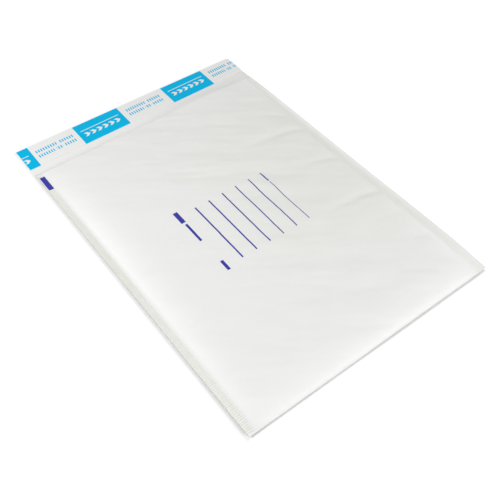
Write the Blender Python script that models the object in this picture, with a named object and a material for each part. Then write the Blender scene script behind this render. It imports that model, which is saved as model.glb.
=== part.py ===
"""Padded postal envelope, lying flat and empty with its flap open.

One sheet of white paper is folded at the bottom and crimped shut along both sides. Its back
panel runs on past the mouth as a flap. A pocket of bubble film lines it, and a printed peel
strip covers the glue on the flap.

Units are metres. X runs across the envelope, Y from the bottom fold to the flap's end, and Z
up from the table. The origin is under the middle of the envelope.
"""

import math

import bmesh
import bpy
from mathutils import Vector
from mathutils.geometry import delaunay_2d_cdt

# Pocket and seams
POCKET_WIDTH = 0.240
POCKET_LENGTH = 0.331
SEAM_WIDTH = 0.008
PAPER = 0.0005

# Height of the room between the paper's inner faces, and how far each edge's slope reaches in
PAD_HEIGHT = 0.0065
FOLD_HEIGHT = 0.0020
MOUTH_HEIGHT = 0.0018
SIDE_REACH = 0.035
FOLD_REACH = 0.040
MOUTH_REACH = 0.110
FOLD_DEPTH = 0.0015
PAD_CROWN = 3
MOUTH_CROWN = 2

# Crimped ridges across the side seams
CRIMP_PITCH = 0.0020
CRIMP_DEPTH = 0.0005
CRIMP_RUN_IN = 0.0008
SEAM_CLEARANCE = 0.00015

# Both seams turn up a little at their outer edges. The right one also stands off the table,
# most at this share of the way to the fold.
SEAM_CUP = 0.0010
RIGHT_CURL = 0.0019
RIGHT_CURL_PEAK = 0.84
RIGHT_CURL_REACH = 0.050
LEFT_LIFT_REACH = 0.020

# The padding props up the right half of the back panel at the mouth
MOUTH_LIFT = 0.0020
MOUTH_LIFT_X = 0.0
MOUTH_LIFT_RISE = 0.060
MOUTH_LIFT_REACH = 0.100

# Flap with its glue and peel strip, whose lower edge was laid on a little askew
BARE_FLAP = 0.0108
TAPE_WIDTH = 0.0304
TAPE_SKEW = 0.0036
TAPE_MARGIN = 0.0004
TAPE_THICKNESS = 0.00015
ADHESIVE_THICKNESS = 0.0002
ADHESIVE_INSET = 0.0050
FILM_GAP = 0.00005

# Bubble film pocket
LINER_GAP = 0.00025
LINER_EDGE = 0.0050
LINER_SETBACK = 0.0040
POCKET_GAP = 0.0005
POCKET_GAP_REACH = 0.020

# Print on the front: address lines along the envelope, counted from the left
LINE_COUNT = 5
LINE_PITCH = 0.0150
LINE_WIDTH = 0.0009
LINE_LENGTH = 0.0715
LINE_CENTRE_X = -0.0027
LINE_TOP_Y = 0.0162
SENDER_BAR_WIDTH = 0.0022
SENDER_BAR_LENGTH = 0.0130
SENDER_GAP = 0.0015
NAME_BAR_X = -0.0507
NAME_BAR_WIDTH = 0.0032
NAME_BAR_TOP_Y = 0.0199
NAME_BAR_LENGTH = 0.0400
CODE_BAR_TOP_Y = -0.0355
CODE_BAR_LENGTH = 0.0120
MARK_WIDTH = 0.0050
MARK_LENGTH = 0.0196
MARK_BELOW_MOUTH = 0.0042

# Print on the peel strip, measured from its left end and up from its lower edge: blocks of
# colour, the first one cut off by the envelope's edge, with two rows of dashes between them
FIRST_BLOCK_END = 0.0115
BLOCK_START = 0.0608
BLOCK_PITCH = 0.1053
BLOCK_WIDTH = 0.0517
RULE_INSET = 0.0060
RULE_UP = 0.0194
RULE_THICKNESS = 0.0008
CHEVRON_COUNT = 5
CHEVRON_PITCH = 0.0070
CHEVRON_HEIGHT = 0.0070
CHEVRON_STROKE = 0.0022
CHEVRON_UP = 0.0090
DASH_HEIGHT = 0.0036
DASH_GAP = 0.0025
DASH_ROWS = (
    (0.0168, (0.0230, 0.0160)),
    (0.0092, (0.0170, 0.0070, 0.0130)),
)

# Fineness of the mesh
BODY_COLUMNS = 16
BODY_ROWS = 20
FOLD_STEPS = 4
SHARP_ANGLE = math.radians(35)

# Derived sizes
FLAP_LENGTH = BARE_FLAP + TAPE_WIDTH + TAPE_MARGIN
ENVELOPE_WIDTH = POCKET_WIDTH + 2 * SEAM_WIDTH
ENVELOPE_LENGTH = POCKET_LENGTH + FLAP_LENGTH
HALF_POCKET = POCKET_WIDTH / 2
HALF_WIDTH = ENVELOPE_WIDTH / 2
END_Y = ENVELOPE_LENGTH / 2
MOUTH_Y = END_Y - FLAP_LENGTH
TAPE_TOP_Y = END_Y - TAPE_MARGIN
TAPE_BOTTOM_Y = TAPE_TOP_Y - TAPE_WIDTH
FOLD_ROW_Y = -END_Y + FOLD_DEPTH
SEAM_LIFT = CRIMP_DEPTH / 2 + SEAM_CLEARANCE
ADHESIVE_Z = PAPER + FILM_GAP
TAPE_Z = ADHESIVE_Z + ADHESIVE_THICKNESS + FILM_GAP
LINER_HALF = HALF_POCKET - LINER_EDGE
LINER_FOLD_Y = FOLD_ROW_Y + LINER_EDGE
LINER_MOUTH_Y = MOUTH_Y - LINER_SETBACK


def ease(distance, reach, power=2):
    """Rise from 0 at the edge to 1 at the reach, steep first and level at the end."""
    share = min(max(distance / reach, 0.0), 1.0)
    return 1 - (1 - share) ** power


def blend(distance, reach):
    """Rise from 0 at the edge to 1 at the reach, level at both ends."""
    share = min(max(distance / reach, 0.0), 1.0)
    return share * share * (3 - 2 * share)


def right_curl(y):
    """How far the right seam stands off the table beyond the left one."""
    share = min(max((MOUTH_Y - y) / POCKET_LENGTH, 0.0), 1.0)
    skew = math.log(0.5) / math.log(RIGHT_CURL_PEAK)
    return RIGHT_CURL * math.sin(math.pi * share ** skew)


def mouth_lift(x, y):
    """How far the padding lifts the back panel between its middle and the right seam."""
    across = blend(x - MOUTH_LIFT_X, MOUTH_LIFT_RISE) * blend(HALF_POCKET - x, MOUTH_LIFT_RISE)
    return MOUTH_LIFT * across * (1 - ease(MOUTH_Y - y, MOUTH_LIFT_REACH))


def back_height(x, y):
    """Underside of the back panel: flat on the table, lifted at both seams and the mouth."""
    left = SEAM_LIFT * (1 - ease(x + HALF_POCKET, LEFT_LIFT_REACH))
    right = (SEAM_LIFT + right_curl(y)) * (1 - ease(HALF_POCKET - x, RIGHT_CURL_REACH))
    cup = SEAM_CUP * (max(abs(x) - HALF_POCKET, 0.0) / SEAM_WIDTH) ** 2
    height = left + right + cup + mouth_lift(x, y)
    return height * (1 - blend(y - MOUTH_Y, BARE_FLAP))


def room_height(x, y):
    """Room between the paper's inner faces: nothing at the seams, low at the fold and mouth."""
    side = ease(HALF_POCKET - abs(x), SIDE_REACH, PAD_CROWN)
    fold_rise = ease(y - FOLD_ROW_Y, FOLD_REACH, PAD_CROWN)
    fold = FOLD_HEIGHT + (PAD_HEIGHT - FOLD_HEIGHT) * fold_rise
    mouth_share = MOUTH_HEIGHT / PAD_HEIGHT
    mouth = mouth_share + (1 - mouth_share) * ease(MOUTH_Y - y, MOUTH_REACH, MOUTH_CROWN)
    return side * fold * mouth


def paper_inside(x, y):
    """Lower and upper inner face of the folded paper."""
    low = back_height(x, y) + PAPER
    return low, low + room_height(x, y)


def liner_outside(x, y):
    """Lower and upper outer face of the film pocket, clear of the paper."""
    low, high = paper_inside(x, y)
    return low + LINER_GAP, high - LINER_GAP


def liner_inside(x, y):
    """Lower and upper inner face of the film pocket, with the gap that takes the contents."""
    low, high = liner_outside(x, y)
    middle = (low + high) / 2
    gap = POCKET_GAP * ease(LINER_HALF - abs(x), POCKET_GAP_REACH)
    return middle - gap / 2, middle + gap / 2


def spread_across():
    """Column places over the pocket, closer together towards the seams."""
    turns = [math.pi * (column / BODY_COLUMNS - 0.5) for column in range(BODY_COLUMNS + 1)]
    return [HALF_POCKET * math.sin(turn) for turn in turns]


def spread_along():
    """Row places from the fold to the mouth, closer together towards both."""
    span = MOUTH_Y - FOLD_ROW_Y
    turns = [math.pi * row / BODY_ROWS for row in range(BODY_ROWS + 1)]
    return [FOLD_ROW_Y + span * (1 - math.cos(turn)) / 2 for turn in turns]


def clip_places(places, low, high):
    """The places between two ends, with the ends themselves."""
    inner = [place for place in places if low + PAPER < place < high - PAPER]
    return [low, *inner, high]


def add_face(bm, corners):
    """Add a face, leaving out corners that fall together where two surfaces meet."""
    kept = [vert for place, vert in enumerate(corners) if vert not in corners[:place]]
    return bm.faces.new(kept) if len(kept) > 2 else None


def add_run(bm, x, ys, height):
    """A run of points along the envelope, at a height given by a function of x and y."""
    return [bm.verts.new((x, y, height(x, y))) for y in ys]


def add_arc(bm, x, y, depth, low, high):
    """The points of a half round fold between two surfaces, without its two ends."""
    middle = (low + high) / 2
    half = (high - low) / 2
    turns = [math.pi * (step / FOLD_STEPS - 0.5) for step in range(1, FOLD_STEPS)]
    points = [(x, y - depth * math.cos(turn), middle + half * math.sin(turn)) for turn in turns]
    return [bm.verts.new(point) for point in points]


def join_runs(bm, near, far):
    """Join two runs of as many points by a strip of faces."""
    return [add_face(bm, corners) for corners in zip(near, near[1:], far[1:], far)]


def zip_runs(bm, coarse, fine):
    """Join two runs of different counts by triangles, each from the nearest coarse point."""
    faces = []
    at = 0
    for near, far in zip(fine, fine[1:]):
        while at + 1 < len(coarse) and coarse[at].co.y + coarse[at + 1].co.y < 2 * near.co.y:
            faces.append(add_face(bm, (coarse[at], coarse[at + 1], near)))
            at += 1
        faces.append(add_face(bm, (coarse[at], far, near)))
    for near, far in zip(coarse[at:], coarse[at + 1:]):
        faces.append(add_face(bm, (near, far, fine[-1])))
    return faces


def split_alike(bm, faces):
    """Split faces along their shorter diagonals, so that parallel surfaces bend alike."""
    bmesh.ops.triangulate(bm, faces=faces, quad_method="SHORT_EDGE")


def add_pocket_section(bm, x, ys, outside, inside, fold_depths, flap_ys=()):
    """One lengthwise section of a sheet folded into a pocket, as named runs of points.

    outside and inside give a lower and an upper height. Where the two inner heights are the
    same, the panels are joined and share their inner points.
    """
    outer_depth, inner_depth = fold_depths
    back_ys = [*ys, *flap_ys]
    section = {
        "under": add_run(bm, x, back_ys, lambda x, y: outside(x, y)[0]),
        "inner_back": add_run(bm, x, back_ys, lambda x, y: inside(x, y)[0]),
        "outer_front": add_run(bm, x, ys, lambda x, y: outside(x, y)[1]),
        "outer_fold": add_arc(bm, x, ys[0], outer_depth, *outside(x, ys[0])),
    }
    low, high = inside(x, ys[0])
    if high - low > 1e-9:
        section["inner_front"] = add_run(bm, x, ys, lambda x, y: inside(x, y)[1])
        section["inner_fold"] = add_arc(bm, x, ys[0], inner_depth, low, high)
    else:
        section["inner_front"] = section["inner_back"][:len(ys)]
        section["inner_fold"] = [section["inner_back"][0]] * (FOLD_STEPS - 1)
    return section


def section_outline(section):
    """A section's points in order round its outline, from the flap's end and back to it."""
    return [
        *reversed(section["under"]),
        *section["outer_fold"],
        *section["outer_front"],
        *reversed(section["inner_front"]),
        *reversed(section["inner_fold"]),
        *section["inner_back"],
        section["under"][-1],
    ]


def add_pocket(bm, xs, ys, outside, inside, fold_depths, flap_ys=()):
    """A pocket lofted through its lengthwise sections."""
    sections = [
        add_pocket_section(bm, x, ys, outside, inside, fold_depths, flap_ys) for x in xs
    ]
    outlines = [section_outline(section) for section in sections]
    for near, far in zip(outlines, outlines[1:]):
        join_runs(bm, near, far)
    return sections


def crimp_wave(row, rows):
    """Offset of a crimp row: crest and trough by turns, level at both ends of the seam."""
    if row in (0, rows):
        return 0.0
    return CRIMP_DEPTH / 2 if row % 2 else -CRIMP_DEPTH / 2


def add_seam_column(bm, x, flap_ys):
    """One column of a crimped seam: two papers pressed together, waved as one."""
    rows = 2 * round((MOUTH_Y - FOLD_ROW_Y) / CRIMP_PITCH)
    step = (MOUTH_Y - FOLD_ROW_Y) / rows
    under = []
    front = []
    for row in range(rows + 1):
        y = FOLD_ROW_Y + step * row
        z = back_height(x, y) + crimp_wave(row, rows)
        under.append(bm.verts.new((x, y, z)))
        front.append(bm.verts.new((x, y, z + 2 * PAPER)))
    low = back_height(x, FOLD_ROW_Y)
    return {
        "under": under,
        "front": front,
        "fold": add_arc(bm, x, FOLD_ROW_Y, FOLD_DEPTH, low, low + 2 * PAPER),
        "flap_under": [under[-1], *add_run(bm, x, flap_ys, back_height)],
        "flap_top": add_run(bm, x, [MOUTH_Y, *flap_ys], lambda x, y: back_height(x, y) + PAPER),
    }


def add_seam(bm, side, edge_section, flap_ys):
    """A crimped seam beside the pocket's edge section; side is -1 on the left and 1 on the right."""
    inner = add_seam_column(bm, side * (HALF_POCKET + CRIMP_RUN_IN), flap_ys)
    outer = add_seam_column(bm, side * HALF_WIDTH, flap_ys)
    flap_rows = len(flap_ys) + 1
    pocket = {
        "under": edge_section["under"][:-len(flap_ys)],
        "front": edge_section["outer_front"],
        "fold": edge_section["outer_fold"],
        "flap_under": edge_section["under"][-flap_rows:],
        "flap_top": edge_section["inner_back"][-flap_rows:],
    }
    zip_runs(bm, pocket["under"], inner["under"])
    printable = zip_runs(bm, pocket["front"], inner["front"])
    join_runs(bm, inner["under"], outer["under"])
    printable += join_runs(bm, inner["front"], outer["front"])
    for near, far in ((pocket, inner), (inner, outer)):
        join_runs(bm, near["flap_under"], far["flap_under"])
        join_runs(bm, near["flap_top"], far["flap_top"])
        near_round = [near["under"][0], *near["fold"], near["front"][0]]
        far_round = [far["under"][0], *far["fold"], far["front"][0]]
        join_runs(bm, near_round, far_round)
        near_step = [near["front"][-1], near["flap_top"][0]]
        far_step = [far["front"][-1], far["flap_top"][0]]
        join_runs(bm, near_step, far_step)
        near_end = [near["flap_under"][-1], near["flap_top"][-1]]
        far_end = [far["flap_under"][-1], far["flap_top"][-1]]
        join_runs(bm, near_end, far_end)
    join_runs(bm, outer["under"], outer["front"])
    add_face(bm, [outer["under"][0], *outer["fold"], outer["front"][0]])
    add_face(bm, [outer["under"][-1], outer["front"][-1], outer["flap_top"][0]])
    join_runs(bm, outer["flap_under"], outer["flap_top"])
    return printable


def faces_over(bm, printable, box):
    """The printable faces that reach into a rectangle given as x and y ranges."""
    faces = []
    for face in bm.faces:
        if not face[printable]:
            continue
        places = [[vert.co[axis] for vert in face.verts] for axis in (0, 1)]
        if all(min(at) < high and max(at) > low for at, (low, high) in zip(places, box)):
            faces.append(face)
    return faces


def ink_rectangle(bm, printable, box, ink):
    """Cut a rectangle's outline into the printable faces and give its inside the ink."""
    for axis in (0, 1):
        for place in box[axis]:
            faces = faces_over(bm, printable, box)
            edges = {edge for face in faces for edge in face.edges}
            verts = {vert for face in faces for vert in face.verts}
            normal = Vector((1, 0, 0)) if axis == 0 else Vector((0, 1, 0))
            bmesh.ops.bisect_plane(
                bm, geom=[*verts, *edges, *faces], dist=1e-7,
                plane_co=normal * place, plane_no=normal)
    for face in faces_over(bm, printable, box):
        middle = face.calc_center_median()
        if all(low < middle[axis] < high for axis, (low, high) in enumerate(box)):
            face.material_index = ink


def bar(x, width, top, length):
    """The x and y ranges of a bar printed along the envelope."""
    return (x - width / 2, x + width / 2), (top - length, top)


def front_print():
    """Every bar of ink on the front, in the order of the real layout."""
    first = LINE_CENTRE_X - LINE_PITCH * (LINE_COUNT - 1) / 2
    bars = [
        bar(first + LINE_PITCH * place, LINE_WIDTH, LINE_TOP_Y, LINE_LENGTH)
        for place in range(LINE_COUNT)
    ]
    sender_x = first + LINE_PITCH * LINE_COUNT
    used = SENDER_BAR_LENGTH + SENDER_GAP
    bars.append(bar(sender_x, SENDER_BAR_WIDTH, LINE_TOP_Y, SENDER_BAR_LENGTH))
    bars.append(bar(sender_x, LINE_WIDTH, LINE_TOP_Y - used, LINE_LENGTH - used))
    bars.append(bar(NAME_BAR_X, NAME_BAR_WIDTH, NAME_BAR_TOP_Y, NAME_BAR_LENGTH))
    bars.append(bar(NAME_BAR_X, NAME_BAR_WIDTH, CODE_BAR_TOP_Y, CODE_BAR_LENGTH))
    mark_x = -(HALF_WIDTH - SEAM_WIDTH / 2)
    bars.append(bar(mark_x, MARK_WIDTH, MOUTH_Y - MARK_BELOW_MOUTH, MARK_LENGTH))
    return bars


def build_paper(paper, ink):
    """The folded sheet: back panel with flap, bottom fold, front panel and both seams."""
    def outside(x, y):
        low, high = paper_inside(x, y)
        return low - PAPER, high + PAPER

    bm = bmesh.new()
    printable = bm.faces.layers.int.new("printable")
    flap_ys = [MOUTH_Y + BARE_FLAP / 2, TAPE_BOTTOM_Y, END_Y]
    fold_depths = (FOLD_DEPTH, FOLD_DEPTH - PAPER)
    sections = add_pocket(
        bm, spread_across(), spread_along(), outside, paper_inside, fold_depths, flap_ys)
    front_points = {vert for section in sections for vert in section["outer_front"]}
    printable_faces = [face for face in bm.faces if front_points.issuperset(face.verts)]
    printable_faces += add_seam(bm, -1, sections[0], flap_ys)
    printable_faces += add_seam(bm, 1, sections[-1], flap_ys)
    for face in printable_faces:
        face[printable] = 1
    split_alike(bm, [face for face in bm.faces if not face[printable]])
    for box in front_print():
        ink_rectangle(bm, printable, box, ink=1)
    bm.faces.layers.int.remove(printable)
    return add_object("paper_envelope", bm, (paper, ink))


def build_liner(film):
    """The folded and side-welded pocket of bubble film."""
    bm = bmesh.new()
    xs = clip_places(spread_across(), -LINER_HALF, LINER_HALF)
    ys = clip_places(spread_along(), LINER_FOLD_Y, LINER_MOUTH_Y)
    fold_depths = (FOLD_DEPTH, FOLD_DEPTH / 2)
    sections = add_pocket(bm, xs, ys, liner_outside, liner_inside, fold_depths)
    for section in (sections[0], sections[-1]):
        join_runs(bm, section["under"], section["inner_back"])
        join_runs(bm, section["inner_front"], section["outer_front"])
        rim = [section["under"][0], *section["outer_fold"], section["outer_front"][0]]
        add_face(bm, [*rim, section["inner_back"][0]])
    split_alike(bm, list(bm.faces))
    return add_object("bubble_liner", bm, (film,))


def build_adhesive(glue):
    """The band of glue on the flap, under the peel strip."""
    bm = bmesh.new()
    bmesh.ops.create_cube(bm, size=1)
    width = ENVELOPE_WIDTH - 2 * ADHESIVE_INSET
    depth = TAPE_WIDTH - 2 * ADHESIVE_INSET
    bmesh.ops.scale(bm, vec=(width, depth, ADHESIVE_THICKNESS), verts=bm.verts)
    adhesive = add_object("adhesive_strip", bm, (glue,))
    middle_y = (TAPE_TOP_Y + TAPE_BOTTOM_Y) / 2
    adhesive.location = (0, middle_y, ADHESIVE_Z + ADHESIVE_THICKNESS / 2)
    return adhesive


def rectangle(left, right, up, height):
    """Corners of a rectangle on the strip, at a height over its lower edge."""
    high = up + height
    return [(left, up), (right, up), (right, high), (left, high)]


def chevron(left):
    """Corners of a chevron that points to the right."""
    high = CHEVRON_UP + CHEVRON_HEIGHT
    middle = CHEVRON_UP + CHEVRON_HEIGHT / 2
    tip = left + CHEVRON_HEIGHT / 2
    return [
        (left, CHEVRON_UP), (left + CHEVRON_STROKE, CHEVRON_UP),
        (tip + CHEVRON_STROKE, middle), (left + CHEVRON_STROKE, high), (left, high),
        (tip, middle),
    ]


def lay_on_strip(shape):
    """A shape set askew with the strip and cut off at its edges, or nothing if it is beyond."""
    laid = []
    for x, up in shape:
        clipped_x = min(max(x, 0.0), ENVELOPE_WIDTH)
        laid.append((clipped_x, min(up + TAPE_SKEW * clipped_x / ENVELOPE_WIDTH, TAPE_WIDTH)))
    xs = [x for x, _ in laid]
    return laid if max(xs) - min(xs) > CHEVRON_STROKE / 2 else None


def block_spans():
    """Left and right end of each block of colour, from the cut-off one on."""
    repeats = math.ceil((ENVELOPE_WIDTH - BLOCK_START) / BLOCK_PITCH) + 1
    starts = [BLOCK_START + BLOCK_PITCH * repeat for repeat in range(repeats)]
    first = (FIRST_BLOCK_END - BLOCK_WIDTH, FIRST_BLOCK_END)
    return [first, *((start, start + BLOCK_WIDTH) for start in starts)]


def block_print(start, end):
    """A block of colour with a white rule and a row of white chevrons."""
    row = CHEVRON_PITCH * (CHEVRON_COUNT - 1) + CHEVRON_STROKE + CHEVRON_HEIGHT / 2
    first = (start + end - row) / 2
    block = rectangle(start, end, 0.0, TAPE_WIDTH)
    rule = rectangle(start + RULE_INSET, end - RULE_INSET, RULE_UP, RULE_THICKNESS)
    chevrons = [chevron(first + CHEVRON_PITCH * place) for place in range(CHEVRON_COUNT)]
    return [(block, 1), (rule, 0), *((shape, 0) for shape in chevrons)]


def dash_print(start, end):
    """Two rows of dashes in the middle of the white between two blocks."""
    shapes = []
    for up, lengths in DASH_ROWS:
        x = (start + end - sum(lengths) - DASH_GAP * (len(lengths) - 1)) / 2
        for length in lengths:
            shapes.append((rectangle(x, x + length, up, DASH_HEIGHT), 1))
            x += length + DASH_GAP
    return shapes


def strip_print():
    """The strip's shapes in printing order, each with the place of its ink."""
    spans = block_spans()
    shapes = []
    for start, end in spans:
        shapes += block_print(start, end)
    for (_, start), (end, _) in zip(spans, spans[1:]):
        shapes += dash_print(start, end)
    laid = [(lay_on_strip(shape), ink) for shape, ink in shapes]
    return [(shape, ink) for shape, ink in laid if shape]


def build_tape(strip, ink):
    """The peel strip: a flat sheet whose top is divided into its printed shapes."""
    outline = lay_on_strip(rectangle(0.0, ENVELOPE_WIDTH, 0.0, TAPE_WIDTH))
    shapes = [(outline, 0), *strip_print()]
    points = []
    outlines = []
    for shape, _ in shapes:
        outlines.append(list(range(len(points), len(points) + len(shape))))
        points += [Vector(corner) for corner in shape]
    places, _, faces, _, _, owners = delaunay_2d_cdt(points, [], outlines, 4, 1e-6)
    bm = bmesh.new()
    verts = [bm.verts.new((place.x, place.y, TAPE_THICKNESS)) for place in places]
    for corners, owner in zip(faces, owners):
        face = bm.faces.new([verts[corner] for corner in corners])
        face.material_index = shapes[max(owner)][1]
    base = bmesh.ops.extrude_face_region(bm, geom=list(bm.faces))["geom"]
    base_faces = [item for item in base if isinstance(item, bmesh.types.BMFace)]
    base_verts = [item for item in base if isinstance(item, bmesh.types.BMVert)]
    bmesh.ops.translate(bm, vec=(0, 0, -TAPE_THICKNESS), verts=base_verts)
    bmesh.ops.dissolve_faces(bm, faces=base_faces, use_verts=False)
    tape = add_object("release_tape", bm, (strip, ink))
    tape.location = (-HALF_WIDTH, TAPE_BOTTOM_Y, TAPE_Z)
    return tape


def add_object(name, bm, materials):
    """Finish a mesh and put it in the scene under its name."""
    bmesh.ops.recalc_face_normals(bm, faces=bm.faces)
    mesh = bpy.data.meshes.new(name)
    bm.to_mesh(mesh)
    bm.free()
    for material in materials:
        mesh.materials.append(material)
    mesh.shade_smooth()
    mesh.set_sharp_from_angle(angle=SHARP_ANGLE)
    piece = bpy.data.objects.new(name, mesh)
    bpy.context.collection.objects.link(piece)
    return piece


def make_material(name, colour, roughness, alpha=1.0):
    """A plain non-metallic material."""
    material = bpy.data.materials.new(name)
    material.use_nodes = True
    shader = material.node_tree.nodes["Principled BSDF"]
    shader.inputs["Base Color"].default_value = (*colour, 1.0)
    shader.inputs["Roughness"].default_value = roughness
    shader.inputs["Metallic"].default_value = 0.0
    shader.inputs["Alpha"].default_value = alpha
    return material


def main():
    """Clear the scene and build the envelope."""
    for piece in list(bpy.data.objects):
        bpy.data.objects.remove(piece)
    paper = make_material("white_paper", (0.82, 0.82, 0.80), 0.60)
    indigo = make_material("indigo_ink", (0.022, 0.024, 0.270), 0.50)
    film = make_material("bubble_film", (0.74, 0.77, 0.78), 0.25, alpha=0.85)
    glue = make_material("hot_melt_glue", (0.70, 0.66, 0.52), 0.30)
    strip = make_material("siliconed_strip", (0.80, 0.81, 0.81), 0.30)
    cyan = make_material("cyan_ink", (0.0, 0.400, 0.730), 0.30)

    envelope = bpy.data.objects.new("padded_envelope", None)
    bpy.context.collection.objects.link(envelope)
    pieces = (
        build_paper(paper, indigo),
        build_liner(film),
        build_adhesive(glue),
        build_tape(strip, cyan),
    )
    for piece in pieces:
        piece.parent = envelope


main()
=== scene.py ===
"""Looks of the padded envelope: creased white paper over bubble film, with its printed strip."""

import math

import bpy
import numpy as np
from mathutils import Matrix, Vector


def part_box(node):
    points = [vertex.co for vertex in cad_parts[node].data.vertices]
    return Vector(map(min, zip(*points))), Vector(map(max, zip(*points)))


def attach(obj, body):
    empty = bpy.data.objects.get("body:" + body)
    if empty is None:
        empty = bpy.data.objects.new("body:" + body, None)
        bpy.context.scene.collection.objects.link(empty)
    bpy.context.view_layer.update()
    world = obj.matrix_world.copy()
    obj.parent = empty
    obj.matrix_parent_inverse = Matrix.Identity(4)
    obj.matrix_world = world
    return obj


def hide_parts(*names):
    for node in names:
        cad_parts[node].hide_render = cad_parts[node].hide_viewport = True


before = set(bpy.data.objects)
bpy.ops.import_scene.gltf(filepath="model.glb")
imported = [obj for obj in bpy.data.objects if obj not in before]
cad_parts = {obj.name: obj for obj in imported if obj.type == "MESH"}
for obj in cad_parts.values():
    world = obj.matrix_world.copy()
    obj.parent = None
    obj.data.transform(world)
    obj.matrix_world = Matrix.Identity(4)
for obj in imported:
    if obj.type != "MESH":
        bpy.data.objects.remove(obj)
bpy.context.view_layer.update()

MM = 0.001

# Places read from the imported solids
paper_low, paper_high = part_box("paper_envelope")
strip_low, strip_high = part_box("release_tape")
liner_low, liner_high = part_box("bubble_liner")
glue_low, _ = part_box("adhesive_strip")
HALF_WIDTH = paper_high.x
END_Y = paper_high.y

# Form of the pocket: the solids' own, but for its mouth, bottom fold and seams
SEAM_WIDTH = 8 * MM
HALF_POCKET = HALF_WIDTH - SEAM_WIDTH
BARE_FLAP = 10.8 * MM
MOUTH_Y = strip_low.y - BARE_FLAP
FOLD_DEPTH = 1.5 * MM
FOLD_ROW_Y = paper_low.y + FOLD_DEPTH
POCKET_LENGTH = MOUTH_Y - paper_low.y
WALL = 0.5 * MM
PAD_HEIGHT = 6.5 * MM
FOLD_HEIGHT = 2.0 * MM
FOLD_TUCK = 1.6 * MM
FOLD_TUCK_REACH = 2.5 * MM
FOLD_LIFT_LEFT = 0.3 * MM
FOLD_LIFT_RIGHT = 0.9 * MM
FOLD_LIFT_START = -30 * MM
FOLD_LIFT_RISE = 60 * MM
FOLD_LIFT_REACH = 14 * MM
MOUTH_HEIGHT = 0.45 * MM
SIDE_REACH = 35 * MM
FOLD_REACH = 40 * MM
MOUTH_REACH = 110 * MM
PAD_CROWN = 3
MOUTH_CROWN = 1.6
SEAM_LIFT = 0.4 * MM
LEFT_LIFT_REACH = 20 * MM
SEAM_CUP = 0.8 * MM
SEAM_CUP_REACH = 150 * MM
CUP_AT_FOLD = 0.5
CUP_AT_MOUTH = 0.4
CUP_MOUTH_REACH = 40 * MM
RIGHT_CUP = 1.0 * MM
RIGHT_CUP_REACH = 30 * MM
RIGHT_CURL = 2.1 * MM
RIGHT_CURL_PEAK = 0.84
RIGHT_CURL_REACH = 50 * MM
MOUTH_LIFT = 2.0 * MM
MOUTH_LIFT_START = 0
MOUTH_LIFT_RISE = 60 * MM
MOUTH_LIFT_REACH = 100 * MM

# The sheet as it is cut and folded
PAPER = 0.35 * MM
SEAM_COLUMNS = 4
POCKET_COLUMNS = 96
FLAP_ROWS = 18
CRIMPS = 165
FOLD_ROWS = 4
CRIMP_CUTS = 3
CRIMP_SWING = 0.18 * MM
CRIMP_RUN_IN = 0.8 * MM
CRIMP_CHANGE_LEFT = 0.7
CRIMP_CHANGE_RIGHT = -0.5
CRIMP_CHANGE_REACH = 30 * MM


def ease(distance, reach, power=2):
    """Rise from 0 at an edge to 1 at the reach, steep first and level at the end."""
    share = np.clip(distance / reach, 0.0, 1.0)
    return 1 - (1 - share) ** power


def smooth(distance, reach):
    """Rise from 0 at an edge to 1 at the reach, level at both ends."""
    share = np.clip(distance / reach, 0.0, 1.0)
    return share * share * (3 - 2 * share)


def right_curl(y):
    """How far the right seam stands off the table beyond the left one."""
    share = np.clip((MOUTH_Y - y) / POCKET_LENGTH, 0.0, 1.0)
    skew = math.log(0.5) / math.log(RIGHT_CURL_PEAK)
    return RIGHT_CURL * np.sin(np.pi * share ** skew)


def mouth_lift(x, y):
    """How far the padding lifts the back panel between its middle and the right seam."""
    across = smooth(x - MOUTH_LIFT_START, MOUTH_LIFT_RISE) * smooth(HALF_POCKET - x, MOUTH_LIFT_RISE)
    return MOUTH_LIFT * across * (1 - ease(MOUTH_Y - y, MOUTH_LIFT_REACH))


def fold_lift(x, y):
    """How far the bottom fold stands off the table, more on its right half."""
    across = smooth(x - FOLD_LIFT_START, FOLD_LIFT_RISE)
    lift = FOLD_LIFT_LEFT + (FOLD_LIFT_RIGHT - FOLD_LIFT_LEFT) * across
    return lift * np.exp(-np.abs(y - FOLD_ROW_Y) / FOLD_LIFT_REACH)


def seam_cup(x, y):
    """How far the seams turn up at their outer edges, less at the mouth and the fold."""
    outwards = np.maximum(np.abs(x) - HALF_POCKET, 0) / SEAM_WIDTH
    below_mouth = smooth(MOUTH_Y - y, CUP_MOUTH_REACH)
    from_fold = y - FOLD_ROW_Y
    cup = SEAM_CUP * outwards ** 2
    cup = cup * (CUP_AT_FOLD + (1 - CUP_AT_FOLD) * smooth(from_fold, SEAM_CUP_REACH))
    cup = cup * (CUP_AT_MOUTH + (1 - CUP_AT_MOUTH) * below_mouth)
    right = RIGHT_CUP * (x > 0) * outwards ** 3 * below_mouth
    return cup + right * smooth(from_fold, RIGHT_CUP_REACH)


def back_height(x, y):
    """Underside of the back panel."""
    left = SEAM_LIFT * (1 - ease(x + HALF_POCKET, LEFT_LIFT_REACH))
    right = (SEAM_LIFT + right_curl(y)) * (1 - ease(HALF_POCKET - x, RIGHT_CURL_REACH))
    height = left + right + seam_cup(x, y) + mouth_lift(x, y) + fold_lift(x, y)
    return height * (1 - smooth(y - MOUTH_Y, BARE_FLAP))


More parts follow.
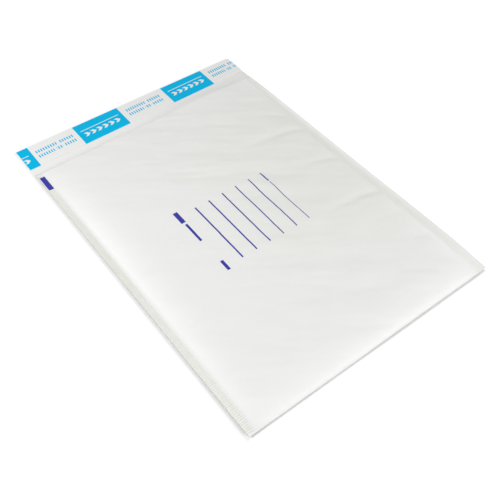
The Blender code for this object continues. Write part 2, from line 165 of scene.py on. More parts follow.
def room_height(x, y):
    """Room between the two panels."""
    side = ease(HALF_POCKET - np.abs(x), SIDE_REACH, PAD_CROWN)
    fold = FOLD_HEIGHT + (PAD_HEIGHT - FOLD_HEIGHT) * ease(y - FOLD_ROW_Y, FOLD_REACH, PAD_CROWN)
    fold = fold - FOLD_TUCK * np.exp(-np.abs(y - FOLD_ROW_Y) / FOLD_TUCK_REACH)
    mouth_share = MOUTH_HEIGHT / PAD_HEIGHT
    mouth = mouth_share + (1 - mouth_share) * ease(MOUTH_Y - y, MOUTH_REACH, MOUTH_CROWN)
    return side * fold * mouth


def crimps(x, y):
    """The pressed ridges across both side seams, strongest at the lower left corner."""
    depth = np.clip((np.abs(x) - HALF_POCKET) / CRIMP_RUN_IN, 0.0, 1.0)
    inside = (y >= FOLD_ROW_Y) & (y <= MOUTH_Y)
    turns = CRIMPS * (y - FOLD_ROW_Y) / (MOUTH_Y - FOLD_ROW_Y)
    near_fold = np.exp(-np.abs(y - FOLD_ROW_Y) / CRIMP_CHANGE_REACH)
    change = np.where(x < 0, CRIMP_CHANGE_LEFT, CRIMP_CHANGE_RIGHT)
    swing = CRIMP_SWING * (1 + change * near_fold)
    return swing * depth * inside * np.sin(2 * np.pi * turns)


# Creases that start at a seam: side, place along it, reach inwards, fan and depth
SEAM_CREASES = (
    (1, 43 * MM, 60 * MM, 0.15, 0.95 * MM),
    (1, -10 * MM, 38 * MM, 0.26, 0.95 * MM),
    (1, -66 * MM, 50 * MM, 0.13, 1.1 * MM),
    (1, 68 * MM, 34 * MM, 0.50, 0.5 * MM),
    (1, 98 * MM, 30 * MM, 0.45, 0.4 * MM),
    (1, -100 * MM, 30 * MM, 0.30, 0.4 * MM),
    (1, -132 * MM, 26 * MM, 0.20, 0.3 * MM),
    (-1, 72 * MM, 20 * MM, -0.20, 0.25 * MM),
    (-1, -18 * MM, 22 * MM, 0.10, 0.30 * MM),
    (-1, -86 * MM, 20 * MM, 0.15, 0.25 * MM),
)
GENTLE_SIDE = 5.5 * MM
STEEP_SIDE = 3.0 * MM
CREASE_START = 8 * MM
CREASE_BROAD = 0.22 * MM
CREASE_FINE = 0.12 * MM
DENTS = 0.16 * MM
BUBBLE_PITCH = 11.5 * MM
BUBBLE_SHOW = 0.03 * MM
RELIEF_RUN_IN = 14 * MM


def seam_creases(x, y):
    """Valleys that the stiff seams pull into the paper, steeper on the side of the fold."""
    height = np.zeros_like(x)
    for side, at, reach, fan, depth in SEAM_CREASES:
        inwards = HALF_POCKET - side * x
        offset = y - at - fan * inwards
        offset = offset / np.where(offset > 0, GENTLE_SIDE, STEEP_SIDE)
        fade = np.clip(inwards / CREASE_START, 0, 1) * np.exp(-(inwards / reach) ** 4)
        height -= depth * fade * np.exp(-offset ** 2)
    return height


def ripples(x, y, count, slant, spread, lengths, seed):
    """Seeded long waves about one slant in degrees, the longer the higher."""
    draws = np.random.default_rng(seed)
    height = np.zeros_like(x)
    for _ in range(count):
        turn = math.radians(draws.normal(slant, spread))
        length = draws.uniform(*lengths)
        phase = draws.uniform(0, 2 * math.pi)
        along = x * math.cos(turn) + y * math.sin(turn)
        height += length / lengths[1] * np.sin(2 * np.pi * along / length + phase)
    return height / math.sqrt(count / 2)


def patches(x, y):
    """How much the paper was handled, about 0.1 to 1.3: most on the right and by the fold."""
    cloud = 0.5 + 0.25 * np.sin(x / (31 * MM) + 1.3) + 0.25 * np.sin(y / (47 * MM) + x / (90 * MM))
    lean = 0.5 + 0.25 * x / HALF_WIDTH - 0.15 * y / END_Y
    return 0.5 * cloud + 0.9 * lean


def slanting_creases(x, y):
    """Faint long creases across the panel, from handling, all at about the same slant."""
    broad = ripples(x, y, 30, 54, 12, (16 * MM, 38 * MM), seed=7)
    fine = ripples(x, y, 40, 52, 9, (6 * MM, 13 * MM), seed=11)
    dents = ripples(x, y, 24, 0, 90, (18 * MM, 40 * MM), seed=5)
    return (CREASE_BROAD * broad + CREASE_FINE * fine + DENTS * dents) * patches(x, y)


def bubble_print_through(x, y):
    """The bubbles of the film showing faintly through the paper."""
    row = y / (BUBBLE_PITCH * math.sqrt(3) / 2)
    across = 2 * np.pi * x / BUBBLE_PITCH
    return BUBBLE_SHOW * np.cos(across) * np.cos(np.pi * row) * patches(x, y)


def front_relief(x, y):
    """All the unevenness of the front panel, which dies out at the seams and the fold."""
    inset = np.minimum(HALF_POCKET - np.abs(x), y - FOLD_ROW_Y)
    share = ease(np.maximum(inset, 0), RELIEF_RUN_IN)
    return seam_creases(x, y) + share * (slanting_creases(x, y) + bubble_print_through(x, y))


def back_middle(x, y):
    """Middle of the paper's thickness in the back panel and the flap."""
    on_flap = (WALL - PAPER) * smooth(y - MOUTH_Y, BARE_FLAP)
    return back_height(x, y) + PAPER / 2 + crimps(x, y) + on_flap


def front_middle(x, y):
    """Middle of the paper's thickness in the front panel."""
    over_pad = 2 * (WALL - PAPER) * ease(HALF_POCKET - np.abs(x), SIDE_REACH, PAD_CROWN)
    room = room_height(x, y) + over_pad
    relief = np.where(np.abs(x) < HALF_POCKET, front_relief(x, y), 0.0)
    return back_height(x, y) + 1.5 * PAPER + room + relief + crimps(x, y)


def read_points(piece):
    """A piece's points as an array of rows of x, y and z."""
    flat = np.empty(len(piece.data.vertices) * 3)
    piece.data.vertices.foreach_get("co", flat)
    return flat.reshape(-1, 3)


def write_points(piece, points):
    """Put an array of points back into a piece."""
    piece.data.vertices.foreach_set("co", points.ravel())
    piece.data.update()


def add_grid(name, columns, rows):
    """A flat grid whose x and y count columns and rows from zero."""
    bpy.ops.object.select_all(action="DESELECT")
    bpy.ops.mesh.primitive_grid_add(x_subdivisions=columns, y_subdivisions=rows, size=1)
    piece = bpy.context.active_object
    piece.name = name
    points = read_points(piece)
    points[:, 0] = (points[:, 0] + 0.5) * columns
    points[:, 1] = (points[:, 1] + 0.5) * rows
    write_points(piece, points)
    return piece


def apply_modifier(piece, kind, **settings):
    """Add a modifier to a piece and apply it."""
    bpy.context.view_layer.objects.active = piece
    modifier = piece.modifiers.new(kind.lower(), kind)
    for setting, value in settings.items():
        setattr(modifier, setting, value)
    bpy.ops.object.modifier_apply(modifier=modifier.name)


def smooth_piece(piece, degrees):
    """Shade a piece smooth but for edges sharper than an angle."""
    bpy.ops.object.select_all(action="DESELECT")
    piece.select_set(True)
    bpy.context.view_layer.objects.active = piece
    bpy.ops.object.shade_smooth_by_angle(angle=math.radians(degrees))


def cut_rows(piece, columns):
    """Divide the rows finely enough for the crimps of both seams and for the bottom fold."""
    places = read_points(piece)
    near = places[:, 0] < SEAM_COLUMNS + 0.5
    far = places[:, 0] > columns - SEAM_COLUMNS - 0.5
    in_band = near | far
    crimped = places[:, 1] > FLAP_ROWS - 0.5
    from_fold = np.abs(places[:, 1] - FLAP_ROWS - CRIMPS - FOLD_ROWS / 2)
    at_fold = (from_fold > FOLD_ROWS / 2 - 0.5) & (from_fold < FOLD_ROWS / 2 + 4.5)
    bpy.ops.object.mode_set(mode="EDIT")
    bpy.ops.mesh.select_mode(type="EDGE")
    bpy.ops.mesh.select_all(action="DESELECT")
    bpy.ops.object.mode_set(mode="OBJECT")
    for edge in piece.data.edges:
        first, last = edge.vertices
        along = abs(places[first, 0] - places[last, 0]) < 0.5
        in_seam = in_band[first] and crimped[first] and crimped[last]
        edge.select = bool(along and (in_seam or (at_fold[first] and at_fold[last])))
    bpy.ops.object.mode_set(mode="EDIT")
    bpy.ops.mesh.subdivide(number_cuts=CRIMP_CUTS)
    bpy.ops.object.mode_set(mode="OBJECT")


def fold_sheet(piece, columns):
    """Bend the flat sheet into flap, back panel, bottom fold and front panel."""
    points = read_points(piece)
    column, row = points[:, 0], points[:, 1]
    seam_inner = columns - SEAM_COLUMNS
    x = np.interp(
        column, (0, SEAM_COLUMNS, seam_inner, columns),
        (-HALF_WIDTH, -HALF_POCKET, HALF_POCKET, HALF_WIDTH))
    back_start = FLAP_ROWS
    fold_start = back_start + CRIMPS
    front_start = fold_start + FOLD_ROWS
    y = np.interp(
        row, (0, back_start, fold_start, front_start, front_start + CRIMPS),
        (END_Y, MOUTH_Y, FOLD_ROW_Y, FOLD_ROW_Y, MOUTH_Y))
    back = back_middle(x, y)
    front = front_middle(x, y)
    turn = np.pi * np.clip((row - fold_start) / FOLD_ROWS, 0, 1) - np.pi / 2
    z = (back + front) / 2 + (front - back) / 2 * np.sin(turn)
    y = y - (FOLD_DEPTH - PAPER / 2) * np.cos(turn)
    write_points(piece, np.stack([x, y, z], axis=1))


def make_sheet():
    """The folded and crimped sheet of paper."""
    columns = POCKET_COLUMNS + 2 * SEAM_COLUMNS
    rows = FLAP_ROWS + 2 * CRIMPS + FOLD_ROWS
    sheet = add_grid("paper_sheet", columns, rows)
    cut_rows(sheet, columns)
    fold_sheet(sheet, columns)
    apply_modifier(sheet, "SOLIDIFY", thickness=PAPER, offset=0.0)
    smooth_piece(sheet, degrees=62)
    return sheet


# The film pocket: two panels of bubbles, folded at the bottom
FILM_COLUMNS = 116
FILM_ROWS = 162
FILM_FOLD_ROWS = 6
FILM_FOLD_DEPTH = 1.5 * MM
FILM_CLEARANCE = 0.12 * MM
FILM_GAP = 0.5 * MM
FILM_GAP_REACH = 20 * MM
LEAST_FILM_GAP = 0.02 * MM
FILM_BASE = 0.35 * MM
BUBBLE_RADIUS = 4.8 * MM
# The most that the clearance and the gap take of the room, and the base of the thickness
CLEARANCE_SHARE = 0.15
GAP_SHARE = 0.2
BASE_SHARE = 0.4


def bubbles(x, along):
    """Flat-topped round bubbles in a close-packed pattern, from 0 between them to 1 on top."""
    row_height = BUBBLE_PITCH * math.sqrt(3) / 2
    nearest = np.full_like(x, np.inf)
    first = np.floor(along / row_height)
    for row in (first, first + 1):
        shifted = x / BUBBLE_PITCH - (row % 2) / 2
        off_x = (shifted - np.round(shifted)) * BUBBLE_PITCH
        nearest = np.minimum(nearest, np.hypot(off_x, along - row * row_height))
    return np.clip(1 - (nearest / BUBBLE_RADIUS) ** 4, 0, 1)


def film_room(x, y):
    """Where the film can be: heights of its lower and upper outside and inside."""
    low = back_middle(x, y) + PAPER / 2
    high = front_middle(x, y) - PAPER / 2
    room = high - low
    clearance = np.minimum(FILM_CLEARANCE, CLEARANCE_SHARE * room)
    middle = (low + high) / 2
    gap = FILM_GAP * ease(liner_high.x - np.abs(x), FILM_GAP_REACH)
    gap = np.minimum(gap, GAP_SHARE * room) + LEAST_FILM_GAP
    return low + clearance, middle - gap / 2, middle + gap / 2, high - clearance


def fold_film(film):
    """Bend the flat film into its back panel, bottom fold and front panel, bubbles outwards."""
    points = read_points(film)
    count = len(points) // 2
    column, row = points[:count, 0], points[:count, 1]
    fold_end = FILM_ROWS + FILM_FOLD_ROWS
    fold_y = liner_low.y + FILM_FOLD_DEPTH
    x = np.interp(column, (0, FILM_COLUMNS), (liner_low.x, liner_high.x))
    y = np.interp(
        row, (0, FILM_ROWS, fold_end, fold_end + FILM_ROWS),
        (liner_high.y, fold_y, fold_y, liner_high.y))
    turn = np.pi * np.clip((row - FILM_ROWS) / FILM_FOLD_ROWS, 0, 1) - np.pi / 2
    low, low_inside, high_inside, high = film_room(x, y)
    thick = low_inside - low
    base = np.minimum(FILM_BASE, BASE_SHARE * thick)
    dome = base + (thick - base) * np.where(np.abs(np.sin(turn)) > 0.99, bubbles(x, y), 1)
    inside = (low_inside + high_inside) / 2 + (high_inside - low_inside) / 2 * np.sin(turn)
    places = (
        (fold_y - FILM_FOLD_DEPTH * np.cos(turn), inside + dome * np.sin(turn)),
        (fold_y - FILM_FOLD_DEPTH / 2 * np.cos(turn), inside),
    )
    for part, (round_y, z) in enumerate(places):
        side = slice(part * count, (part + 1) * count)
        flat = np.abs(np.sin(turn)) > 0.99
        points[side] = np.stack([x, np.where(flat, y, round_y), z], axis=1)
    write_points(film, points)


def make_film():
    """The pocket of bubble film."""
    rows = 2 * FILM_ROWS + FILM_FOLD_ROWS
    film = add_grid("bubble_film", FILM_COLUMNS, rows)
    apply_modifier(film, "SOLIDIFY", thickness=FILM_BASE, offset=1.0)
    fold_film(film)
    smooth_piece(film, degrees=60)
    return film


# Print on the front, as bars of ink with a middle x, a width, a top y and a length
LINES_X = -3.8 * MM
LINE_TOP_Y = 16.2 * MM
LINE_LENGTH = 71.5 * MM
LINE_PITCH = 15 * MM
LINE_WIDTHS = (1.4 * MM, 1.3 * MM, 1.15 * MM, 1.0 * MM, 1.0 * MM)
SENDER_X = 40.6 * MM
SENDER_WIDTH = 0.7 * MM
SENDER_WORD_WIDTH = 1.3 * MM
SENDER_WORD = 13 * MM
SENDER_GAP = 1.5 * MM
ADDRESS_LINES = [
    (LINES_X + LINE_PITCH * (place - 2), width, LINE_TOP_Y, LINE_LENGTH)
    for place, width in enumerate(LINE_WIDTHS)
]
SENDER_LINE = [
    (SENDER_X, SENDER_WORD_WIDTH, LINE_TOP_Y, SENDER_WORD),
    (SENDER_X, SENDER_WIDTH, LINE_TOP_Y - SENDER_WORD - SENDER_GAP,
     LINE_LENGTH - SENDER_WORD - SENDER_GAP),
]
NAME_BARS = [
    (-52.2 * MM, 4.4 * MM, 21.6 * MM, 14.5 * MM),
    (-51.6 * MM, 2.3 * MM, 4.5 * MM, 23.5 * MM),
    (-51.0 * MM, 3.0 * MM, -47.5 * MM, 11.6 * MM),
]
SEAM_MARK = [(-HALF_WIDTH + SEAM_WIDTH / 2, 5 * MM, MOUTH_Y - 5.3 * MM, 19.6 * MM)]
INK_LIFT = 0.05 * MM
INK_THICKNESS = 0.02 * MM
START_HEIGHT = 50 * MM
# Columns of a bar and length of its cells, finer where it has to follow the crimps
PANEL_CELLS = (4, 0.5 * MM)
CRIMP_CELLS = (12, 0.1 * MM)


def make_ink_bar(bar, sheet, cells):
    """One bar of ink that follows the paper under it."""
    middle, width, top, length = bar
    columns, step = cells
    rows = max(4, round(length / step))
    piece = add_grid("ink_bar", columns, rows)
    points = read_points(piece)
    points[:, 0] = middle + width * (points[:, 0] / columns - 0.5)
    points[:, 1] = top - length * (1 - points[:, 1] / rows)
    points[:, 2] = START_HEIGHT
    write_points(piece, points)
    apply_modifier(
        piece, "SHRINKWRAP", target=sheet, wrap_method="PROJECT", use_project_z=True,
        use_negative_direction=True, use_positive_direction=False, offset=INK_LIFT)
    apply_modifier(piece, "SOLIDIFY", thickness=INK_THICKNESS, offset=1.0)
    return piece


def make_ink(name, bars, sheet, cells):
    """A group of ink bars as one piece."""
    made = [make_ink_bar(bar, sheet, cells) for bar in bars]
    bpy.ops.object.select_all(action="DESELECT")
    for piece in made:
        piece.select_set(True)
    bpy.context.view_layer.objects.active = made[0]
    if len(made) > 1:
        bpy.ops.object.join()
    ink = bpy.context.active_object
    ink.name = name
    smooth_piece(ink, degrees=40)
    return ink


STRIP_COLUMNS = 160
STRIP_ROWS = 20
STRIP_SKEW = 3.6 * MM
STRIP_RIPPLE = 0.02 * MM
STRIP_THICKNESS = 0.12 * MM
STRIP_REST = 0.02 * MM
GLUE_MARGIN = 0.1 * MM


def make_strip():
    """The peel strip, laid on its glue a little askew and cut off along the flap's end."""
    strip = add_grid("peel_strip", STRIP_COLUMNS, STRIP_ROWS)
    points = read_points(strip)
    x = strip_low.x + (strip_high.x - strip_low.x) * points[:, 0] / STRIP_COLUMNS
    low_edge = strip_low.y + STRIP_SKEW * points[:, 0] / STRIP_COLUMNS
    y = low_edge + (strip_high.y - low_edge) * points[:, 1] / STRIP_ROWS
    loose = 1 - smooth(y - low_edge, glue_low.y - GLUE_MARGIN - low_edge)
    ripple = np.sin(x / (17 * MM)) + 0.6 * np.sin(x / (7.3 * MM) + 1.0)
    lowest = WALL + STRIP_THICKNESS / 2 + STRIP_REST
    drop = (strip_low.z + strip_high.z) / 2 - lowest
    z = lowest + drop * (1 - loose) + loose * STRIP_RIPPLE * (ripple + 1.6)
    write_points(strip, np.stack([x, y, z], axis=1))
    apply_modifier(strip, "SOLIDIFY", thickness=STRIP_THICKNESS, offset=0.0)
    smooth_piece(strip, degrees=40)
    return strip


class Value:
    """A number in a material's nodes, so that shader maths reads as a formula."""

    def __init__(self, finish, socket):
        self.finish = finish
        self.socket = socket

    def maths(self, operation, *terms, clamp=False):
        settings = {"operation": operation, "use_clamp": clamp}
        return self.finish.add("ShaderNodeMath", settings, dict(enumerate(terms)))

    def __add__(self, other):
        return self.maths("ADD", self, other)

    def __radd__(self, other):
        return self.maths("ADD", other, self)

    def __sub__(self, other):
        return self.maths("SUBTRACT", self, other)

    def __rsub__(self, other):
        return self.maths("SUBTRACT", other, self)

    def __mul__(self, other):
        return self.maths("MULTIPLY", self, other)

    def __rmul__(self, other):
        return self.maths("MULTIPLY", other, self)

    def __truediv__(self, other):
        return self.maths("DIVIDE", self, other)

    def __mod__(self, other):
        return self.maths("FLOORED_MODULO", self, other)

    def __abs__(self):
        return self.maths("ABSOLUTE", self)

    def above(self, edge, soft):
        """0 below an edge and 1 above it, over a soft width."""
        return self.maths("MULTIPLY_ADD", self - edge, 1 / soft, 0.5, clamp=True)

    def within(self, low, high, soft):
        """1 between two edges and 0 outside them."""
        return self.above(low, soft) * (1 - self.above(high, soft))

    def most(self, other):
        """The larger of two numbers."""
        return self.maths("MAXIMUM", self, other)


class Finish:
    """A material with one Principled shader."""

    def __init__(self, name, **sockets):
        self.material = bpy.data.materials.new(name)
        self.material.use_nodes = True
        self.tree = self.material.node_tree
        self.shader = self.tree.nodes["Principled BSDF"]
        for socket, value in sockets.items():
            self.shader.inputs[socket.replace("_", " ")].default_value = value

    def add(self, kind, settings=None, inputs=None, output=0):
        """Add a node with its settings and inputs, and give back one of its outputs."""
        node = self.tree.nodes.new(kind)
        for setting, value in (settings or {}).items():
            setattr(node, setting, value)
        for socket, value in (inputs or {}).items():
            self.feed(node.inputs[socket], value)
        return Value(self, node.outputs[output])

    def feed(self, socket, value):
        """Link a value to a socket, or set the socket to a plain one."""
        if isinstance(value, Value):
            self.tree.links.new(value.socket, socket)
        else:
            socket.default_value = value

    def drive(self, socket, value):
        """Feed one of the shader's sockets."""
        self.feed(self.shader.inputs[socket], value)

    def place(self):
        """Where a point of the surface is, in metres, and its x, y and z."""
        whole = self.add("ShaderNodeTexCoord", output="Object")
        node = self.tree.nodes.new("ShaderNodeSeparateXYZ")
        self.feed(node.inputs[0], whole)
        return (whole, *(Value(self, output) for output in node.outputs))

    def noise(self, where, size, detail=2.0, roughness=0.5, stretch=(1, 1, 1)):
        """Cloudy noise whose features are about a size in metres."""
        scaled = self.add(
            "ShaderNodeMapping", {"vector_type": "POINT"},
            {"Vector": where, "Scale": tuple(share / size for share in stretch)})
        inputs = {"Vector": scaled, "Scale": 1.0, "Detail": detail, "Roughness": roughness}
        return self.add("ShaderNodeTexNoise", {"noise_dimensions": "3D"}, inputs)

    def mix(self, share, first, second):
        """A colour between two colours."""
        return self.add(
            "ShaderNodeMix", {"data_type": "RGBA"}, {0: share, 6: first, 7: second}, output=2)

    def bump(self, height, depth):
        """Roughen the surface by a height from 0 to 1 over a depth in metres."""
        inputs = {"Strength": 1.0, "Distance": depth, "Height": height}
        self.drive("Normal", self.add("ShaderNodeBump", inputs=inputs))


WHITE_PAPER = (0.838, 0.836, 0.822, 1)
GREY_PAPER = (0.806, 0.814, 0.768, 1)
SEALED_PAPER = (0.800, 0.802, 0.752, 1)
PALE_SEALED_PAPER = (0.842, 0.846, 0.795, 1)
PAINTED_FLAP_SHADE = (0.790, 0.790, 0.770, 1)
EDGE_SHADE = (0.42, 0.42, 0.41, 1)
STRIP_WHITE = (0.82, 0.825, 0.805, 1)
CYAN = (0.000, 0.455, 0.760, 1)
INDIGO = (0.018, 0.019, 0.300, 1)
FADED_INDIGO = (0.045, 0.047, 0.400, 1)
GLUE = (0.72, 0.68, 0.54, 1)
FILM = (0.80, 0.83, 0.84, 1)
BLACK = (0, 0, 0, 1)
WHITE = (1, 1, 1, 1)

# Places and strengths of the paper's tints and of its painted shade lines, and the depth of its bump
EDGE_SHADE_WIDTH = 0.15 * MM
FOLD_SHADE_WIDTH = 0.25 * MM
FOLD_SHADE_SHARE = 0.6
MOUTH_SHADE_WIDTH = 1.4 * MM
MOUTH_SHADE_SHARE = 0.3
MOUTH_SHADE_END_X = -55 * MM
OUTER_MARGIN = 3 * MM
SEAL_INSET = 1.5 * MM
PAPER_BUMP = 0.20 * MM


def paper_finish():
    """Bleached paper, cloudy grey, greyer on the right and where sealed; painted highlight along the
    fold, painted shade on the flap's right and as dark lines at the cut edges, fold and mouth.
    """
    finish = Finish("white_paper", Specular_IOR_Level=0.3)
    where, x, y, _ = finish.place()
    outwards = abs(x) - HALF_POCKET
    below_mouth = 1 - y.above(MOUTH_Y, MM)
    grey_tone_and_fold_highlight = finish.noise(where, 22 * MM, detail=3) - 0.6
    grey_tone_and_fold_highlight = grey_tone_and_fold_highlight + 1.2 * x.above(20 * MM, 160 * MM) * (1 - 0.9 * abs(y).above(90 * MM, 80 * MM))
    grey_tone_and_fold_highlight = grey_tone_and_fold_highlight - 2 * outwards.above(0.5 * MM, MM)
    # Painted highlight: the paper turns whiter along the bottom fold.
    grey_tone_and_fold_highlight = grey_tone_and_fold_highlight - 0.8 * (1 - y.above(FOLD_ROW_Y + 8 * MM, 12 * MM))
    paper = finish.mix(grey_tone_and_fold_highlight, WHITE_PAPER, GREY_PAPER)
    # Painted shade: the flap above the mouth turns darker towards the right.
    flap_shade_mask = (1 - below_mouth) * x.above(85 * MM, 60 * MM)
    paper = finish.mix(flap_shade_mask, paper, PAINTED_FLAP_SHADE)
    sealed = outwards.above(SEAL_INSET, SEAL_INSET) * below_mouth
    sealed = sealed * (1 - x.above(HALF_WIDTH - OUTER_MARGIN, OUTER_MARGIN))
    seal = finish.mix(y.above(-90 * MM, 180 * MM), PALE_SEALED_PAPER, SEALED_PAPER)
    paper = finish.mix(sealed, paper, seal)
    # Painted shade: dark lines along the seams' cut side edges below the mouth, as a contact shadow.
    painted_edge_shade = abs(x).above(HALF_WIDTH - EDGE_SHADE_WIDTH, 0.1 * MM) * below_mouth
    # Painted shade: the outer edge of the bottom fold painted dark, as a contact shadow line.
    painted_edge_shade = painted_edge_shade.most(FOLD_SHADE_SHARE * (1 - y.above(paper_low.y + FOLD_SHADE_WIDTH, 0.3 * MM)))
    # Painted shade: a thin dark line on the flap just behind the mouth's edge, on the left.
    painted_mouth_shade = y.within(MOUTH_Y, MOUTH_Y + MOUTH_SHADE_WIDTH, 0.4 * MM)
    painted_mouth_shade = painted_mouth_shade * (1 - x.above(MOUTH_SHADE_END_X, 20 * MM))
    painted_edge_shade = painted_edge_shade.most(MOUTH_SHADE_SHARE * painted_mouth_shade)
    finish.drive("Base Color", finish.mix(painted_edge_shade, paper, EDGE_SHADE))
    fibre = finish.noise(where, 0.5 * MM, detail=4, roughness=0.7, stretch=(1, 0.35, 1))
    cockle = finish.noise(where, 6 * MM, detail=2)
    finish.drive("Roughness", 0.54 + 0.12 * fibre)
    finish.bump(0.15 * fibre + 0.85 * cockle, PAPER_BUMP)
    return finish.material


def ink_finish():
    """Indigo ink soaked a little unevenly into the paper."""
    finish = Finish("indigo_ink", Roughness=0.45)
    where, _, _, _ = finish.place()
    blotch = finish.noise(where, 0.8 * MM, detail=3)
    finish.drive("Base Color", finish.mix(blotch, INDIGO, FADED_INDIGO))
    return finish.material


# Layout of the strip, measured from its left end and up from its lower edge
FIRST_BLOCK_END = 11.5 * MM
BLOCK_START = 60.8 * MM
BLOCK_PITCH = 105.3 * MM
BLOCK_WIDTH = 51.7 * MM
RULE_INSET = 4 * MM
RULE_UP = 18.3 * MM
RULE_THICKNESS = 0.8 * MM
CHEVRON_COUNT = 6
CHEVRON_PITCH = 7 * MM
CHEVRON_HEIGHT = 5.6 * MM
CHEVRON_STROKE = 3.6 * MM
CHEVRON_UP = 9.1 * MM
DASH_HEIGHT = 4.2 * MM
DASH_GAP = 2.5 * MM
DASH_ROWS = ((16.7 * MM, (23 * MM, 16 * MM)), (9.4 * MM, (17 * MM, 7 * MM, 13 * MM)))
TICK_PITCH = 2.6 * MM
TICK_WIDTH = 1.3 * MM
PRINT_EDGE = 0.15 * MM


def white_in_block(across, up):
    """The white rule and chevrons, from the distance to a block's middle and the height."""
    rule = 1 - abs(across).above(BLOCK_WIDTH / 2 - RULE_INSET, PRINT_EDGE)
    rule = rule * up.within(RULE_UP, RULE_UP + RULE_THICKNESS, PRINT_EDGE)
    off_middle = abs(up - (CHEVRON_UP + CHEVRON_HEIGHT / 2))
    length = CHEVRON_PITCH * (CHEVRON_COUNT - 1) + CHEVRON_STROKE
    slant = across + (length + CHEVRON_HEIGHT / 2) / 2 - CHEVRON_HEIGHT / 2 + off_middle
    chevron = (slant % CHEVRON_PITCH).within(PRINT_EDGE, CHEVRON_STROKE, PRINT_EDGE)
    chevron = chevron * slant.within(0, length, PRINT_EDGE)
    chevron = chevron * (1 - off_middle.above(CHEVRON_HEIGHT / 2, PRINT_EDGE))
    return rule.most(chevron)


def strip_finish():
    """Siliconed paper printed with blocks of cyan, white chevrons and rows of ticks."""
    finish = Finish("printed_strip", Specular_IOR_Level=0.08)
    where, x, y, _ = finish.place()
    width = strip_high.x - strip_low.x
    along = x - strip_low.x
    up = y - strip_low.y - (STRIP_SKEW / width) * along
    between = BLOCK_PITCH - BLOCK_WIDTH
    # The first block reaches further than the pitch gives, so it and the gap after it shift
    cut_off = FIRST_BLOCK_END - (BLOCK_START - between)
    steps = 2 - along.above(FIRST_BLOCK_END, PRINT_EDGE) - along.above(BLOCK_START, PRINT_EDGE)
    along = along - (cut_off / 2) * steps
    gap_middle = BLOCK_START - between / 2
    from_block = (along - gap_middle) % BLOCK_PITCH - BLOCK_PITCH / 2
    from_gap = (along - gap_middle + BLOCK_PITCH / 2) % BLOCK_PITCH - BLOCK_PITCH / 2
    ink = abs(from_gap).above(between / 2, PRINT_EDGE) * (1 - white_in_block(from_block, up))
    ticks = (from_gap % TICK_PITCH).within(PRINT_EDGE, PRINT_EDGE + TICK_WIDTH, PRINT_EDGE)
    for low, lengths in DASH_ROWS:
        level = up.within(low, low + DASH_HEIGHT, PRINT_EDGE) * ticks
        start = -(sum(lengths) + DASH_GAP * (len(lengths) - 1)) / 2
        for length in lengths:
            ink = ink.most(level * from_gap.within(start, start + length, PRINT_EDGE))
            start += length + DASH_GAP
    grain = finish.noise(where, 1.2 * MM, detail=3)
    finish.drive("Base Color", finish.mix(ink, STRIP_WHITE, CYAN))
    finish.drive("Roughness", 0.28 + 0.1 * grain)
    finish.bump(grain, 0.02 * MM)
    return finish.material


def glue_finish():
    """Pale tacky glue."""
    finish = Finish("hot_melt_glue", Base_Color=GLUE, Roughness=0.25)
    where, _, _, _ = finish.place()
    finish.bump(finish.noise(where, 2 * MM, detail=2), 0.1 * MM)
    return finish.material


def film_finish():
    """Pale film, opaque because it is hidden in the paper."""
    finish = Finish("bubble_film", Base_Color=FILM)
    where, _, _, _ = finish.place()
    haze = finish.noise(where, 4 * MM, detail=2)
    finish.drive("Roughness", 0.12 + 0.12 * haze)
    finish.bump(haze, 0.1 * MM)
    return finish.material


def use_finish(piece, material):
    """Give a piece one material."""
    piece.data.materials.clear()
    piece.data.materials.append(material)


# Camera and light of the photograph
CAMERA_PLACE = (-0.26986, -0.36097, 0.48468)
CAMERA_TURN = (39.543, -0.777, -37.591)
CAMERA_LENS = 51.9
SENSOR_WIDTH = 36
WORLD_STRENGTH = 0.50
LAMP_SIZE = 0.3
# Name, place and power of each lamp
LAMPS = (
    ("key", (-0.83, 0.22, 0.52), 5.9),
    ("front", (0.20, -0.95, 0.25), 4.6),
    ("side", (0.95, 0.10, 0.20), 2.7),
)

TABLE_SIZE = 6
TABLE_DROP = 0.1 * MM
# Glow of the floor where it is seen directly: its level, and its rise along x and y
FLOOR_GLOW = (0.18, 0.42, 0.12)
# It rises to full white far off, is stronger on the right and stops by the envelope's edge
FULL_GLOW_AT = 120 * MM
FULL_GLOW_RAMP = 160 * MM
RIGHT_GLOW = 0.3
GLOW_SHIFT = 2 * MM
GLOW_START = 1.2 * MM
GLOW_SOFTNESS = 2.0 * MM


def add_camera():
    """The camera at the photograph's place."""
    data = bpy.data.cameras.new("camera")
    data.lens = CAMERA_LENS
    data.sensor_width = SENSOR_WIDTH
    camera = bpy.data.objects.new("camera", data)
    camera.location = CAMERA_PLACE
    camera.rotation_euler = [math.radians(turn) for turn in CAMERA_TURN]
    bpy.context.scene.collection.objects.link(camera)
    bpy.context.scene.camera = camera


def add_lamp(name, place, power):
    """A soft square lamp aimed at the middle of the envelope."""
    data = bpy.data.lights.new(name, "AREA")
    data.size = LAMP_SIZE
    data.energy = power
    lamp = bpy.data.objects.new(name, data)
    lamp.location = place
    aim = -Vector(place)
    lamp.rotation_euler = aim.to_track_quat("-Z", "Y").to_euler()
    bpy.context.scene.collection.objects.link(lamp)


def seen_directly(finish):
    """1 for rays from the eye, off a glossy surface or through glass, else 0."""
    path = finish.tree.nodes.new("ShaderNodeLightPath")
    rays = [Value(finish, path.outputs[ray]) for ray in (
        "Is Camera Ray", "Is Glossy Ray", "Is Transmission Ray")]
    return rays[0].most(rays[1]).most(rays[2])


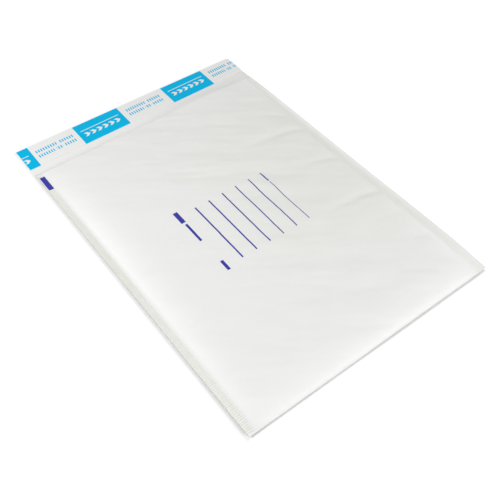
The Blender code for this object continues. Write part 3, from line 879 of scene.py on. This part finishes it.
def add_floor():
    """A table top that looks white to the eye but for the envelope's shadow at its edges."""
    bpy.ops.object.select_all(action="DESELECT")
    bpy.ops.mesh.primitive_plane_add(size=TABLE_SIZE, location=(0, 0, -TABLE_DROP))
    floor = bpy.context.active_object
    floor.name = "table_top"
    finish = Finish("white_table", Base_Color=(0.9, 0.9, 0.9, 1), Roughness=0.9)
    finish.shader.inputs["Emission Strength"].default_value = 1.0
    _, x, y, _ = finish.place()
    beyond = (abs(x) - HALF_WIDTH).most(abs(y) - END_Y)
    level, rise_x, rise_y = FLOOR_GLOW
    glow = level + rise_x * x + rise_y * y
    glow = glow.most(beyond.above(FULL_GLOW_AT, FULL_GLOW_RAMP))
    glow = glow + RIGHT_GLOW * x.above(HALF_WIDTH, 2 * MM)
    off_edge = (abs(x + GLOW_SHIFT) - HALF_WIDTH + GLOW_SHIFT / 2).most(abs(y) - END_Y)
    share = glow * off_edge.above(GLOW_START, GLOW_SOFTNESS) * seen_directly(finish)
    finish.drive("Emission Color", finish.mix(share, BLACK, WHITE))
    use_finish(floor, finish.material)


def add_world():
    """Even white light from all round, and a white backdrop."""
    world = bpy.data.worlds.new("studio")
    bpy.context.scene.world = world
    world.use_nodes = True
    background = world.node_tree.nodes["Background"]
    background.inputs["Color"].default_value = WHITE
    path = world.node_tree.nodes.new("ShaderNodeLightPath")
    strength = world.node_tree.nodes.new("ShaderNodeMapRange")
    strength.inputs["To Min"].default_value = WORLD_STRENGTH
    strength.inputs["To Max"].default_value = 1.0
    world.node_tree.links.new(path.outputs["Is Camera Ray"], strength.inputs["Value"])
    world.node_tree.links.new(strength.outputs["Result"], background.inputs["Strength"])


sheet = make_sheet()
use_finish(sheet, paper_finish())
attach(sheet, "root")
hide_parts("paper_envelope")

indigo = ink_finish()
for name, bars, cells in (
        ("address_lines", ADDRESS_LINES, PANEL_CELLS), ("sender_line", SENDER_LINE, PANEL_CELLS),
        ("name_bars", NAME_BARS, PANEL_CELLS), ("seam_mark", SEAM_MARK, CRIMP_CELLS)):
    ink = make_ink(name, bars, sheet, cells)
    use_finish(ink, indigo)
    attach(ink, "root")

strip = make_strip()
use_finish(strip, strip_finish())
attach(strip, "root")
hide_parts("release_tape")

film = make_film()
use_finish(film, film_finish())
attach(film, "root")
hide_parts("bubble_liner")

use_finish(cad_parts["adhesive_strip"], glue_finish())

add_camera()
add_world()
add_floor()
for name, place, power in LAMPS:
    add_lamp(name, place, power)

bpy.context.scene.view_settings.view_transform = "Standard"
